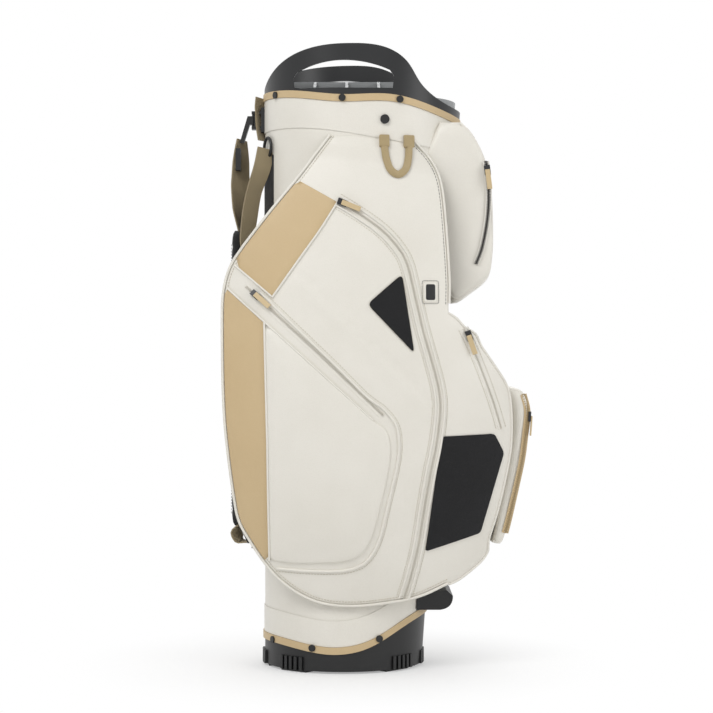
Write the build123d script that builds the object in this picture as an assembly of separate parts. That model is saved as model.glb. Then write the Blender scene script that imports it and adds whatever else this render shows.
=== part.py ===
"""A golf cart bag: 14-way divider, moulded cuff and base, side, front and ball pockets, and a shoulder strap.

Millimetres. +Z is up, +X is the ball pocket side and -X the spine. -Y is the near side, and +Y the far side.
The origin is on the floor, on the axis of the tube's back arc. Near-side pieces are mirrored for the far side.
"""
from build123d import *
import os
from math import atan2, cos, degrees, radians, sin, sqrt

# --- driving dimensions -------------------------------------------------------------------------------------
TUBE_RADIUS = 112.0        # outside of the fabric sleeve
SLEEVE_WALL = 2.5
BASE_SPREAD = 4.0          # distance between the tube's two arc centres at the floor
TOP_SPREAD = 60.0          # and at the cuff line
CUFF_LINE = 814.0          # height of the sleeve's top edge at the handles
HANDLE_TOP = 886.0         # top of the handles
CLEARANCE = 0.3            # between pieces that lie on each other
WALL = 3.5                 # moulded walls of the cuff and the base
FLOOR_THICKNESS = 6.0
FOOT_HEIGHT = 3.0
LUG_HEIGHT = 19.0
CENTRE_FOOT_RADIUS = 30.0
TRIM_HEIGHT = 10.0
TRIM_THICKNESS = 2.4
BAND_THICKNESS = 0.9
BASE_BAND_HEIGHT = 42.0
RIVET_RADIUS = 5.0

SIDE_CENTRE = (10.0, 430.0)            # X and Z of the middle of the side pockets' curved face
SIDE_SIZE = (300.0, 165.0, 480.0)      # its semi-axes along X, Y and Z
SIDE_FRONT = 151.0                     # where the side pockets end and the front pockets start
CORE_HALF_WIDTH = 66.0                 # of the front pockets' stretch between the side pockets
UPPER_HALF_WIDTH = 92.0
BALL_HALF_WIDTH = 84.0
LAYER = 5.0                            # how far the lower side pocket stands off the face
PATCH = 1.3                            # thickness of the hook-and-loop patches
SPINE_LAYER = 1.1                      # how far the spine panel stands off the sleeve
GRAB_RING_WIRE = 2.2

ROW_HALF_WIDTH = 31.0                  # half the width of the divider's middle row
RIB = 4.0                              # thickness of the divider's ribs
RIB_FIT = 0.1
DIVIDER_BOTTOM = 800.0
DIVIDER_TOP = 842.0                    # top of the middle row
DIVIDER_EDGE = 824.0                   # top of the outer rows at the tube's wall
PANEL = 1.5                            # thickness of the full-length divider panels
RIM_RADIUS = TUBE_RADIUS - SLEEVE_WALL - WALL - 3 * CLEARANCE

STRAP_AXIS = -125.0                    # X of the strap's two upright pins
STRAP_HALF_WIDTH = 19.0
PAD_HALF_WIDTH = 28.0
PAD_THICKNESS = 18.0
PAD_TOP = 629.0
PAD_BOTTOM = 200.0
PIN_RADIUS = 3.0
EYE_RADIUS = 6.5
PIN_FIT = 0.35
TOP_ANCHOR = 790.0                     # heights of the middle of the two anchors
LOW_ANCHOR = 180.0
EYE_HEIGHT = 18.0
EAR = 4.0

ZIP_WIDTH = 7.0
ZIP_THICKNESS = 2.0
POUCH_ZIP_LIFT = 1.4                   # the pouch zip stands higher, because its face turns away under it
SLIDER_LENGTH = 14.0
SLIDER_WIDTH = 8.6
SLIDER_HEIGHT = 3.6
PULL_LENGTH = 27.0
PULL_WIDTH = 7.0
PULL_THICKNESS = 2.0
REACH = 400.0                          # longer than anything that is cut

# --- outlines in the XZ plane -------------------------------------------------------------------------------
CUFF_CURVE = [(-125, 826), (-60, 821), (0, 814), (60, 815), (90, 811), (130, 800), (185, 786)]
YOKE_CURVE = [(-125, 769), (0, 762), (72, 750), (116, 743), (185, 740)]
BASE_CURVE = [(-130, 42), (-79, 41), (-13, 32.5), (40, 42), (84, 65.5), (135, 84)]


def lean(z):
    """Distance between the tube's back and front arc centres at a height."""
    return BASE_SPREAD + (TOP_SPREAD - BASE_SPREAD) * z / CUFF_LINE


def section(radius, z):
    spread = lean(z)
    return Pos(spread / 2, 0, z) * SlotCenterToCenter(spread, 2 * radius)


def tube(radius, low, high):
    return loft([section(radius, low), section(radius, high)], ruled=True)


def ring(outer, inner, low, high):
    return tube(outer, low, high) - tube(inner, low - 1, high + 1)


def prism(*lines, low=-REACH, high=REACH):
    """The solid under an outline of the XZ plane, from Y = low to Y = high."""
    face = make_face(Plane.XZ * Curve(list(lines)))
    return Pos(0, high, 0) * extrude(face, amount=high - low, dir=(0, -1, 0))


def strip(curve, below, above, **reach):
    """A band along an open curve of the XZ plane, from `below` under it to `above` over it."""
    bottom = [(x, z - below) for x, z in curve]
    top = [(x, z + above) for x, z in curve]
    return prism(Spline(*bottom), Line(bottom[-1], top[-1]), Spline(*top), Line(top[0], bottom[0]), **reach)


def block(x0, x1, y0, y1, z0, z1):
    return Pos((x0 + x1) / 2, (y0 + y1) / 2, (z0 + z1) / 2) * Box(x1 - x0, y1 - y0, z1 - z0)


def side_form(grow=0.0):
    """The curved form whose surface is the side pockets' outer face."""
    sizes = tuple(s + grow for s in SIDE_SIZE)
    return Pos(SIDE_CENTRE[0], 0, SIDE_CENTRE[1]) * scale(Sphere(1), by=sizes)


def face_y(x, z, grow=0.0):
    """Y of the near side's curved face."""
    a, b, c = (s + grow for s in SIDE_SIZE)
    return -b * sqrt(1 - ((x - SIDE_CENTRE[0]) / a) ** 2 - ((z - SIDE_CENTRE[1]) / c) ** 2)


def face_normal(x, z):
    a, b, c = SIDE_SIZE
    y = face_y(x, z)
    return Vector((x - SIDE_CENTRE[0]) / a ** 2, y / b ** 2, (z - SIDE_CENTRE[1]) / c ** 2).normalized()


def far(shape):
    return mirror(shape, about=Plane.XZ)


def polygon(*points):
    return Polyline(*points, close=True)


# --- zips: each track is an arc of a circle, and its slider turns about the circle's axis ---------------------
class Track:
    """The circle through three points of a face. Its slider starts at the first point."""

    def __init__(self, first, middle, last, outward):
        p, q, r = Vector(*first), Vector(*middle), Vector(*last)
        a, b = q - p, r - p
        n = a.cross(b)
        self.centre = p + (n.cross(a) * b.length ** 2 + b.cross(n) * a.length ** 2) * (0.5 / n.length ** 2)
        self.axis = n.normalized()
        self.radius = (p - self.centre).length
        self.start = (p - self.centre).normalized()
        self.side = self.axis.cross(self.start)
        end = r - self.centre
        self.sweep = degrees_between(end.dot(self.start), end.dot(self.side))
        self.outward = outward

    def ray(self, angle):
        return self.start * cos(radians(angle)) + self.side * sin(radians(angle))

    def angle_of(self, length):
        return degrees(length / self.radius)

    def out(self, angle):
        """The direction out of the face at an angle along the track."""
        return self.ray(angle) if self.outward == "radial" else self.axis * self.outward

    def point(self, angle, height=0.0):
        return self.centre + self.ray(angle) * self.radius + self.out(angle) * height

    def tangent(self, angle):
        return self.axis.cross(self.ray(angle))

    def bar(self, start, length, low, high, width):
        """A bar along the track: from `low` to `high` off the face and `width` across."""
        begin = self.angle_of(start)
        u = self.ray(begin)
        plane = Plane(origin=self.centre, x_dir=u, z_dir=u.cross(self.axis))
        middle, depth = (low + high) / 2, high - low
        if self.outward == "radial":
            profile = Pos(self.radius + middle, 0) * Rectangle(depth, width)
        else:
            profile = Pos(self.radius, middle * self.outward) * Rectangle(width, depth)
        return revolve(plane * profile, Axis(self.centre, self.axis), self.angle_of(length))

    def length(self):
        return radians(self.sweep) * self.radius

    def hinge(self):
        """Place and axis of the pull's hinge, at the middle of the slider."""
        angle = self.angle_of(SLIDER_LENGTH / 2)
        top = SLIDER_LOW + SLIDER_HEIGHT + CLEARANCE + PULL_THICKNESS / 2
        return self.point(angle, top), self.tangent(angle).cross(self.out(angle))


def degrees_between(along, across):
    return degrees(atan2(across, along)) % 360


SLIDER_LOW = ZIP_THICKNESS + CLEARANCE


def on_face(x, z, grow=0.0):
    return (x, face_y(x, z, grow), z)


BALL_Y = -(BALL_HALF_WIDTH - ZIP_WIDTH)
TRACKS = {
    "garment_zip": Track(on_face(-4.5, 662), on_face(66, 613), on_face(104, 520), -1),
    "side_zip": Track(on_face(-123.5, 535), on_face(-36, 455), on_face(51, 372), "radial"),
    "pouch_zip": Track(on_face(175.6, 482, POUCH_ZIP_LIFT), on_face(195, 427, POUCH_ZIP_LIFT),
                       on_face(223.5, 349, POUCH_ZIP_LIFT), "radial"),
    "upper_zip": Track((205, -UPPER_HALF_WIDTH, 716), (208, -UPPER_HALF_WIDTH, 665),
                       (198, -UPPER_HALF_WIDTH, 600), -1),
    "ball_zip": Track((263.5, BALL_Y, 368), (256, BALL_Y, 300), (237, BALL_Y, 215), "radial"),
}
PAIRED = ("garment_zip", "side_zip", "pouch_zip")


def zip_chain(track, carrier):
    return track.bar(-4, track.length() + 8, -ZIP_THICKNESS, ZIP_THICKNESS, ZIP_WIDTH) - carrier


def slider(track):
    low = SLIDER_LOW
    return track.bar(0, SLIDER_LENGTH, low, low + SLIDER_HEIGHT, SLIDER_WIDTH)


def pull(track):
    """A flat tab with a round hinge end, lying over the slider and along the track."""
    place, axis = track.hinge()
    angle = track.angle_of(SLIDER_LENGTH / 2)
    plane = Plane(origin=place, x_dir=track.tangent(angle), z_dir=axis)
    knuckle = Cylinder(PULL_THICKNESS / 2, PULL_WIDTH)
    tab = Pos(PULL_LENGTH / 2, 0, 0) * Box(PULL_LENGTH, PULL_THICKNESS, PULL_WIDTH)
    return plane * (knuckle + tab)


# --- the tube -----------------------------------------------------------------------------------------------
def below(curve):
    return strip(curve, 900, 0)


def sleeve():
    shell = ring(TUBE_RADIUS, TUBE_RADIUS - SLEEVE_WALL, 20, 850)
    return shell & strip(BASE_CURVE, -CLEARANCE, 900) & strip(CUFF_CURVE, 900, 0)


def base_cup():
    wall = ring(TUBE_RADIUS, TUBE_RADIUS - WALL, FOOT_HEIGHT, 110) & below(BASE_CURVE)
    inner = TUBE_RADIUS - SLEEVE_WALL - CLEARANCE
    spigot = ring(inner, inner - WALL, FOOT_HEIGHT + 1, 100) & strip(BASE_CURVE, 900, 14)
    floor = tube(TUBE_RADIUS - 1, FOOT_HEIGHT, FOOT_HEIGHT + FLOOR_THICKNESS)
    return wall + spigot + floor


def base_feet():
    """The pads that the bag stands on, and the ribbed lugs round the bottom edge over them."""
    feet = []
    cup = tube(TUBE_RADIUS, 0, 40)
    for turn in (-84, -39, 47, 84, -180 + 39, 180 - 47):
        for rib in range(5):
            angle = radians(turn - 90 + (rib - 2) * 4.4)
            place = Pos(lean(0) if cos(angle) > 0 else 0, 0, 0) * Rot(0, 0, degrees(angle))
            lug = place * Pos(TUBE_RADIUS + 1.5, 0, LUG_HEIGHT / 2 + FOOT_HEIGHT) * Box(4, 5, LUG_HEIGHT)
            feet.append(lug - cup)
        pad = Pos(TUBE_RADIUS - 14, 0, FOOT_HEIGHT / 2) * Box(20, 46, FOOT_HEIGHT)
        feet.append(Rot(0, 0, turn - 90) * pad)
    feet.append(Pos(0, 0, FOOT_HEIGHT / 2) * Cylinder(CENTRE_FOOT_RADIUS, FOOT_HEIGHT))
    return feet


def line_height(curve, x):
    """Height of an outline curve at X, between its points."""
    for (x0, z0), (x1, z1) in zip(curve, curve[1:]):
        if x0 <= x <= x1:
            return z0 + (z1 - z0) * (x - x0) / (x1 - x0)
    return curve[-1][1]


def trim(curve, drop):
    outer = TUBE_RADIUS + CLEARANCE + TRIM_THICKNESS
    band = ring(outer, TUBE_RADIUS + CLEARANCE, 20, 860)
    return band & strip(curve, drop, TRIM_HEIGHT - drop)


def tube_point(radius, x, z):
    """Y of the near side of the tube's section at X."""
    centre = min(max(x, 0), lean(z))
    return -sqrt(max(radius ** 2 - (x - centre) ** 2, 0))


def rivets(curve, places, offset):
    """Domed rivets through a trim, on both sides."""
    heads = []
    radius = TUBE_RADIUS + CLEARANCE + TRIM_THICKNESS
    for x in places:
        z = line_height(curve, x) + offset
        centre = min(max(x, 0), lean(z))
        y = tube_point(radius, x, z)
        out = Vector(x - centre, y, 0).normalized()
        plane = Plane(origin=(x, y, z) + out * CLEARANCE, z_dir=out)
        head = plane * (Pos(0, 0, 1) * Cylinder(RIVET_RADIUS, 2))
        heads += [head, far(head)]
    return heads


# --- the cuff and the divider ----------------------------------------------------------------------------------
def cuff():
    """The moulded collar with a carry handle on each side."""
    inner = TUBE_RADIUS - SLEEVE_WALL - CLEARANCE
    crest = [(-115, 828), (-87, 863), (-23, 884), (13, HANDLE_TOP), (63, 880), (95, 858), (110, 834),
             (141, 809), (180, 800)]
    wall = ring(TUBE_RADIUS + 1, inner - WALL, 780, 900)
    foot = [(x, z + CLEARANCE) for x, z in CUFF_CURVE]
    collar = wall & prism(Spline(*foot), Line(foot[-1], (185, 800)), Line((185, 800), crest[-1]),
                          Spline(*crest), Line(crest[0], (-125, 828)), Line((-125, 828), foot[0]))
    skirt = ring(inner, inner - WALL, 770, 850) & strip(CUFF_CURVE, 30, 4)
    gap = prism(Polyline((-62, 848), (-68, 840), (-66, 824), (72, 823), (74, 840), (68, 849)),
                ThreePointArc((68, 849), (3, 863), (-62, 848)))
    return (collar - gap) + skirt


def divider():
    """The moulded 14-way top: rows of 5, 4 and 5 wells, each rib a solid of its own."""
    inside = tube(RIM_RADIUS - RIB - RIB_FIT, DIVIDER_BOTTOM - 1, DIVIDER_TOP + 1)
    inside &= prism(polygon((-130, 780), (-116, 826), (-95, DIVIDER_TOP), (78, DIVIDER_TOP), (160, 790),
                            (160, 780)))
    ribs = []
    for side in (-1, 1):
        bar_y = side * ROW_HALF_WIDTH
        ribs.append(inside & block(-REACH, REACH, bar_y - RIB / 2, bar_y + RIB / 2, DIVIDER_BOTTOM, DIVIDER_TOP))
        for x in row_places(5, side):
            y0 = side * (ROW_HALF_WIDTH + RIB / 2 + CLEARANCE)
            y1 = side * RIM_RADIUS
            web = Polyline((y0, DIVIDER_BOTTOM), (y1, DIVIDER_BOTTOM), (y1, DIVIDER_EDGE), (y0, DIVIDER_TOP),
                           close=True)
            plate = extrude(Plane.YZ * make_face(web), amount=RIB / 2, both=True)
            ribs.append(inside & (Pos(x, 0, 0) * plate))
    y = ROW_HALF_WIDTH - RIB / 2 - CLEARANCE
    for x in row_places(4, 0):
        ribs.append(inside & block(x - RIB / 2, x + RIB / 2, -y, y, DIVIDER_BOTTOM, DIVIDER_TOP))
    return ribs


def divider_rim():
    """The ring that carries the ribs, inside the cuff's skirt."""
    return ring(RIM_RADIUS, RIM_RADIUS - RIB, DIVIDER_BOTTOM, DIVIDER_BOTTOM + 14)


def row_places(wells, side):
    """X of the ribs between the wells of one row, at the top of the tube."""
    radius = TUBE_RADIUS - SLEEVE_WALL - WALL - RIB
    y = 1.9 * ROW_HALF_WIDTH if side else 0
    half = sqrt(radius ** 2 - y ** 2)
    start, end = -half, TOP_SPREAD + half
    return [start + (end - start) * i / wells for i in range(1, wells)]


def divider_panels():
    """The full-length fabric panels that part the clubs, hung under the divider."""
    low, high = FOOT_HEIGHT + FLOOR_THICKNESS + CLEARANCE, DIVIDER_BOTTOM - CLEARANCE
    reach = TUBE_RADIUS - SLEEVE_WALL - WALL - 8
    panels = []
    for side in (-1, 1):
        half = sqrt(reach ** 2 - ROW_HALF_WIDTH ** 2)
        outline = polygon((-half, low), (lean(low) + half, low), (lean(high) + half, high), (-half, high))
        y = side * ROW_HALF_WIDTH
        panels.append(prism(outline, low=y - PANEL / 2, high=y + PANEL / 2))
        for x in row_places(5, side):
            if abs(x) < 60:
                y0 = side * (ROW_HALF_WIDTH + 1)
                y1 = side * (sqrt(reach ** 2 - x ** 2) - 2)
                panels.append(block(x - PANEL / 2, x + PANEL / 2, min(y0, y1), max(y0, y1), low, high))
    return panels


def stay_rods():
    """Two stiffening rods that stand in the base and reach up behind the cuff."""
    place = TUBE_RADIUS - SLEEVE_WALL - WALL - 5
    rods = []
    for turn in (-152, 152):
        spot = Rot(0, 0, turn) * Pos(place, 0, 0)
        height = DIVIDER_BOTTOM - 2 - FOOT_HEIGHT - FLOOR_THICKNESS
        rods.append(spot * Pos(0, 0, FOOT_HEIGHT + FLOOR_THICKNESS + height / 2) * Cylinder(3, height))
    return rods


def tube_room():
    """The tube with its bands and trims, which the pockets are sewn round."""
    dressed = tube(TUBE_RADIUS + TRIM_THICKNESS + 2 * CLEARANCE, 20, 860)
    room = tube(TUBE_RADIUS + CLEARANCE, 20, 860)
    room += dressed & strip(BASE_CURVE, 30, BASE_BAND_HEIGHT + CLEARANCE)
    room += dressed & strip(YOKE_CURVE, CLEARANCE, 200)
    return room


# --- pockets: plain closed solids between the tube and the curved side form -----------------------------------
def side_outline():
    """The side pocket's outline: a straight diagonal edge, and a long round one under it."""
    right = SIDE_FRONT
    return [
        Line((-16, 757), (-135, 602)),
        Spline((-135, 602), (-166, 530), (-164, 385), (-127, 187), (-27, 101), (54, 100), (right, 127)),
        Polyline((right, 127), (right, 690), (137, 705), (60, 757), (-16, 757)),
    ]


def garment_pocket():
    body = prism(*side_outline(), low=-REACH, high=0) & side_form()
    channel = [(-90, -60), (-400, -242), (-400, 0), (-90, 0)]
    body -= extrude(make_face(polygon(*channel)), amount=REACH * 3)
    body -= block(60, REACH, -CORE_HALF_WIDTH - CLEARANCE, 1, 0, 900)
    return body - tube_room()


def shell_patch(low, high, *lines):
    """A thin layer on the near face, under an outline."""
    return prism(*lines, low=-REACH, high=-60) & (side_form(high) - side_form(low))


def side_pocket():
    """The D-shaped lower pocket on the garment pocket's face."""
    return shell_patch(CLEARANCE, LAYER,
                       Line((-140, 524), (44, 358)),
                       Spline((44, 358), (64, 318), (52, 230), (16, 171), (-40, 158)),
                       Line((-40, 158), (-96, 160)),
                       Spline((-96, 160), (-132, 240), (-150, 380), (-150, 470), (-140, 524)))


def upper_pocket():
    """The tall pocket high on the front, round at its foot."""
    outline = [
        Line((152, 770), (176, 777)),
        Spline((176, 777), (200, 736), (214, 690), (215, 620), (211, 567)),
        Spline((211, 567), (192, 547), (168, 525), (152, 528)),
    ]
    wide = prism(*outline, Line((152, 528), (152, 770)), low=-UPPER_HALF_WIDTH, high=UPPER_HALF_WIDTH)
    core = prism(*outline, Polyline((152, 528), (100, 528), (100, 770), (152, 770)),
                 low=-CORE_HALF_WIDTH, high=CORE_HALF_WIDTH)
    return (wide + core) - tube_room()


POUCH_TOP = [(152, 506), (167, 489), (188, 479), (216, 433), (236, 402)]
POUCH_FRONT = [(236, 402), (240, 320), (222, 230), (208, 180)]
POUCH_FOOT = [(208, 180), (205, 160), (180, 140), (152, 118)]


def pouch():
    outline = [Spline(*POUCH_TOP), Spline(*POUCH_FRONT), Spline(*POUCH_FOOT)]
    wide = prism(*outline, Line((152, 118), (152, 506))) & side_form()
    core = prism(*outline, Polyline((152, 118), (100, 118), (100, 506), (152, 506)),
                 low=-CORE_HALF_WIDTH, high=CORE_HALF_WIDTH)
    return (wide + core) - tube_room()


def ball_pocket():
    front = [(237, 401), (256, 396), (262.5, 375), (254, 298), (235, 205), (225, 179), (210, 182)]
    body = prism(Spline(*front), Spline(*[(x + CLEARANCE, z) for x, z in reversed(POUCH_FRONT)]),
                 Line((236 + CLEARANCE, 402), front[0]), Line(front[-1], (208 + CLEARANCE, 180)),
                 low=-BALL_HALF_WIDTH, high=BALL_HALF_WIDTH)
    return body


# --- the spine, the strap and small fittings ------------------------------------------------------------------
def back_layer(inner, outer, half_width, low, high, centre=0.0):
    """A layer on the tube's back, from `inner` to `outer` off it."""
    layer = ring(TUBE_RADIUS + outer, TUBE_RADIUS + inner, low, high)
    return layer & block(-REACH, 0, centre - half_width, centre + half_width, low, high)


def anchor(middle):
    """A lug on the tube's back: two ears with an upright pin between them."""
    ears = []
    for z in (middle - EYE_HEIGHT / 2 - EAR, middle + EYE_HEIGHT / 2):
        ears.append(block(STRAP_AXIS - EYE_RADIUS, -100, -9, 9, z, z + EAR))
    plate = block(STRAP_AXIS + EYE_RADIUS + 1, -100, -14, 14, middle - 18, middle + 18)
    pin = Pos(STRAP_AXIS, 0, middle) * Cylinder(PIN_RADIUS, EYE_HEIGHT + EAR)
    solid = plate + ears[0] + ears[1] - tube(TUBE_RADIUS + BAND_THICKNESS + 3 * CLEARANCE, 90, 850)
    return solid + pin


def eye(middle, toward):
    """The strap's end fitting: an eye round the pin, and a tongue to the webbing."""
    height = EYE_HEIGHT - 1.0
    up = 1 if toward[1] > middle else -1
    root, bend = STRAP_AXIS - 4, STRAP_AXIS - EYE_RADIUS - 3
    tongue = prism(polygon((root, middle - 6 * up), (root, middle + 6 * up), (bend, middle + 6 * up),
                           (toward[0] + 3, toward[1]), (toward[0] - 3, toward[1]),
                           (bend - 3, middle - 6 * up)), low=-7, high=7)
    body = Pos(STRAP_AXIS, 0, middle) * Cylinder(EYE_RADIUS, height) + tongue
    return body - Pos(STRAP_AXIS, 0, middle) * Cylinder(PIN_RADIUS + PIN_FIT, 60)


PAD_X = -151.0
HOOK_END = (-146.0, 757.0)
TAIL_END = (-146.0, PAD_BOTTOM - CLEARANCE)


def shoulder_pad():
    inner, outer = PAD_X + PAD_THICKNESS / 2, PAD_X - PAD_THICKNESS / 2
    middle = (PAD_TOP + PAD_BOTTOM) / 2
    outline = [
        ThreePointArc((inner - 4, PAD_TOP), (inner - 1, middle), (inner - 4, PAD_BOTTOM)),
        Line((inner - 4, PAD_BOTTOM), (outer + 5, PAD_BOTTOM)),
        ThreePointArc((outer + 5, PAD_BOTTOM), (outer, middle), (outer + 5, PAD_TOP)),
        Line((outer + 5, PAD_TOP), (inner - 4, PAD_TOP)),
    ]
    return prism(*outline, low=-PAD_HALF_WIDTH, high=PAD_HALF_WIDTH)


def flat_strap(x, low, high):
    return block(x - 1, x + 1, -STRAP_HALF_WIDTH, STRAP_HALF_WIDTH, low, high)


LOOP_X = (60.0, 93.0)
LOOP_TOP, LOOP_BOTTOM = 742.0, 700.0
LOOP_BAND = 12.0
LOOP_THICKNESS = 2.4


def loop_plane():
    """A plane on the near face under the towel loop: x along +X, y up the face, z out of it."""
    x, z = sum(LOOP_X) / 2, (LOOP_TOP + LOOP_BOTTOM) / 2
    normal = face_normal(x, z)
    return Plane(origin=Vector(*on_face(x, z)), x_dir=Vector(1, 0, 0) - normal * normal.X, z_dir=normal)


def towel_loop():
    """A flat U of webbing, which swings up about its sewn ends."""
    width = LOOP_X[1] - LOOP_X[0] + LOOP_BAND
    height = LOOP_TOP - LOOP_BOTTOM
    outer = Rectangle(width, height)
    outer = fillet(outer.vertices().sort_by(Axis.Y)[:2], LOOP_BAND + 4)
    hole = Pos(0, LOOP_BAND) * Rectangle(width - 2 * LOOP_BAND, height)
    return loop_plane() * Pos(0, 0, 1.2) * extrude(outer - hole, amount=LOOP_THICKNESS)


def towel_tabs():
    """The two sewn tabs over the loop's ends."""
    height = LOOP_TOP - LOOP_BOTTOM
    tabs = []
    for side in (-1, 1):
        place = Pos(side * (LOOP_X[1] - LOOP_X[0]) / 2, height / 2 + 6.4, 0.6)
        tabs.append(loop_plane() * place * Box(LOOP_BAND, 11, 4))
    return tabs


def front_shelf():
    """The moulded ledge under the front pockets."""
    body = prism(Polyline((100, 112), (100, 84), (140, 84)), Spline((140, 84), (156, 92), (159, 104)),
                 Polyline((159, 104), (150, 112), (100, 112)), low=-62, high=62)
    return body - tube(TUBE_RADIUS + TRIM_THICKNESS + 2 * CLEARANCE, 40, 200)


def base_band():
    layer = ring(TUBE_RADIUS + CLEARANCE + BAND_THICKNESS, TUBE_RADIUS + CLEARANCE, 30, 130)
    return layer & strip(BASE_CURVE, -TRIM_HEIGHT / 2 - CLEARANCE, BASE_BAND_HEIGHT)


def cuff_band():
    """The white yoke under the cuff's trim."""
    layer = ring(TUBE_RADIUS + CLEARANCE + BAND_THICKNESS, TUBE_RADIUS + CLEARANCE, 735, 830)
    return layer & strip(YOKE_CURVE, 0, 200) & strip(CUFF_CURVE, 200, -TRIM_HEIGHT - CLEARANCE)


def button_screws():
    screws = []
    x, z = 61.0, 779.0
    y = tube_point(TUBE_RADIUS + 2 * CLEARANCE + BAND_THICKNESS, x, z)
    head = Pos(x, y - 1.5, z) * Rot(90, 0, 0) * Cylinder(6.5, 3)
    screws += [head, far(head)]
    return screws


def grab_ring():
    turn = Rot(0, 0, 23)
    offset = TUBE_RADIUS + SPINE_LAYER + CLEARANCE + GRAB_RING_WIRE
    flat = Pos(-offset, 0, 746) * Rot(0, 90, 0) * Torus(14, GRAB_RING_WIRE)
    return turn * flat


def build():
    """Every node and its solid or solids."""
    near_garment = garment_pocket()
    near_side = side_pocket()
    front = pouch()
    high = upper_pocket()
    ball = ball_pocket()
    panel_outline = polygon((156, 337), (212, 340), (216, 312), (198, 216), (156, 190))
    nodes = {
        "base_cup": base_cup(),
        "base_feet": base_feet(),
        "base_trim": trim(BASE_CURVE, TRIM_HEIGHT / 2),
        "base_band": base_band(),
        "trim_rivets": (rivets(BASE_CURVE, (-98, -41, 53), 0)
                        + rivets(CUFF_CURVE, (-94, 1, 82), -TRIM_HEIGHT / 2)),
        "front_shelf": front_shelf(),
        "tube_sleeve": sleeve(),
        "stay_rods": stay_rods(),
        "top_cuff": cuff(),
        "cuff_trim": trim(CUFF_CURVE, TRIM_HEIGHT),
        "cuff_band": cuff_band(),
        "button_screws": button_screws(),
        "divider_ribs": divider(),
        "divider_rim": divider_rim(),
        "divider_panels": divider_panels(),
        "garment_pocket_near": near_garment,
        "garment_pocket_far": far(near_garment),
        "side_pocket_near": near_side,
        "side_pocket_far": far(near_side),
        "upper_pocket": high,
        "front_pouch": front,
        "ball_pocket": ball,
        "felt_triangle": shell_patch(CLEARANCE, PATCH, polygon((38, 512), (78, 552), (98, 462))),
        "loop_panel": shell_patch(CLEARANCE, PATCH, panel_outline),
        "spine_panel": back_layer(CLEARANCE, SPINE_LAYER, 56, 250, 735),
        "grab_strap": back_layer(SPINE_LAYER + CLEARANCE, SPINE_LAYER + CLEARANCE + 2, 15, 600, 728, centre=-41),
        "grab_ring": grab_ring(),
        "strap_anchor_top": anchor(TOP_ANCHOR),
        "strap_anchor_bottom": anchor(LOW_ANCHOR),
        "strap_hook": eye(TOP_ANCHOR, HOOK_END),
        "strap_webbing": flat_strap(HOOK_END[0] + 0.5, PAD_TOP + CLEARANCE, HOOK_END[1] - CLEARANCE),
        "strap_adjuster": block(-154, -146.8, -22, 22, 716, 748),
        "shoulder_pad": shoulder_pad(),
        "strap_tail": eye(LOW_ANCHOR, TAIL_END),
        "towel_loop": towel_loop(),
        "towel_tabs": [tab - near_garment for tab in towel_tabs()],
    }
    carriers = {"garment_zip": near_garment, "side_zip": near_garment, "pouch_zip": front,
                "upper_zip": high, "ball_zip": ball}
    for name, track in TRACKS.items():
        stem = name.replace("_zip", "")
        pieces = {"zip": zip_chain(track, carriers[name]), "slider": slider(track), "pull": pull(track)}
        for kind, solid in pieces.items():
            if name in PAIRED:
                nodes[f"{stem}_{kind}_near"] = solid
                nodes[f"{stem}_{kind}_far"] = far(solid)
            else:
                nodes[f"{stem}_{kind}"] = solid
    return nodes


def main():
    os.makedirs("parts", exist_ok=True)
    for name, shape in build().items():
        solids = []
        for piece in (shape if isinstance(shape, (list, tuple)) else [shape]):
            solids += piece.solids()
        whole = solids[0] if len(solids) == 1 else Compound(children=solids)
        export_step(whole, f"parts/{name}.step")


if __name__ == "__main__":
    main()
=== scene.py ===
import math
import bpy
import numpy as np
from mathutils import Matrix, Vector, noise
from mathutils.geometry import delaunay_2d_cdt


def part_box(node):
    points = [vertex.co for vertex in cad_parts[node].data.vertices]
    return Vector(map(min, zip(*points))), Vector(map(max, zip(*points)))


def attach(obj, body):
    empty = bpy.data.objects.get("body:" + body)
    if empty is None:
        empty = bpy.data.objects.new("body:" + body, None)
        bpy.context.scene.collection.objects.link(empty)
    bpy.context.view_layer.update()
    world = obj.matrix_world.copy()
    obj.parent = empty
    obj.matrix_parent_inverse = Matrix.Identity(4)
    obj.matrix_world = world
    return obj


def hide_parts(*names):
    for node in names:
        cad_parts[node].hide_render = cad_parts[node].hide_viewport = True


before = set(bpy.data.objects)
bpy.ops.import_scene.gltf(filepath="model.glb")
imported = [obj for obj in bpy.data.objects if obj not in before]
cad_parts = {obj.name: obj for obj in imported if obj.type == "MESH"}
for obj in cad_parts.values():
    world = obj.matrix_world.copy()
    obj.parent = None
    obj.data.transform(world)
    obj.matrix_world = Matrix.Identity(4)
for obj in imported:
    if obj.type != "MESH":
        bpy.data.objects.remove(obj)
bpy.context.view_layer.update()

MM = 0.001

# --- the bag's forms, in millimetres --------------------------------------------------------------
TUBE_RADIUS = 112.0
BASE_SPREAD, TOP_SPREAD, CUFF_LINE = 4.0, 60.0, 814.0
SIDE_CENTRE = (10.0, 430.0)
SIDE_SIZE = (300.0, 165.0, 480.0)
YOKE = [(-125, 769), (0, 762), (72, 750), (116, 743), (185, 740)]
SIDE_FRONT = 150.0                     # where the side pocket's face ends
UPPER_HALF, BALL_HALF = 92.0, 84.0     # half widths of the upper pocket and the ball pocket
CHANNEL_EDGE, CHANNEL_DEPTH, CHANNEL_SLOPE = -90.0, 60.0, 0.587    # the pockets' walls beside the strap
FOLD_START, FOLD_END = (-64.0, 568.0), (130.0, 375.0)
FOLD_LENGTH, FOLD_FADE = 280.0, 20.0
STITCH_SHARE, STITCH_WIDTH = 0.66, 0.7    # a stitch's share of its gap, and its thickness
WEB_THICKNESS, TAPE_THICKNESS = 2.2, 0.8
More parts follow.
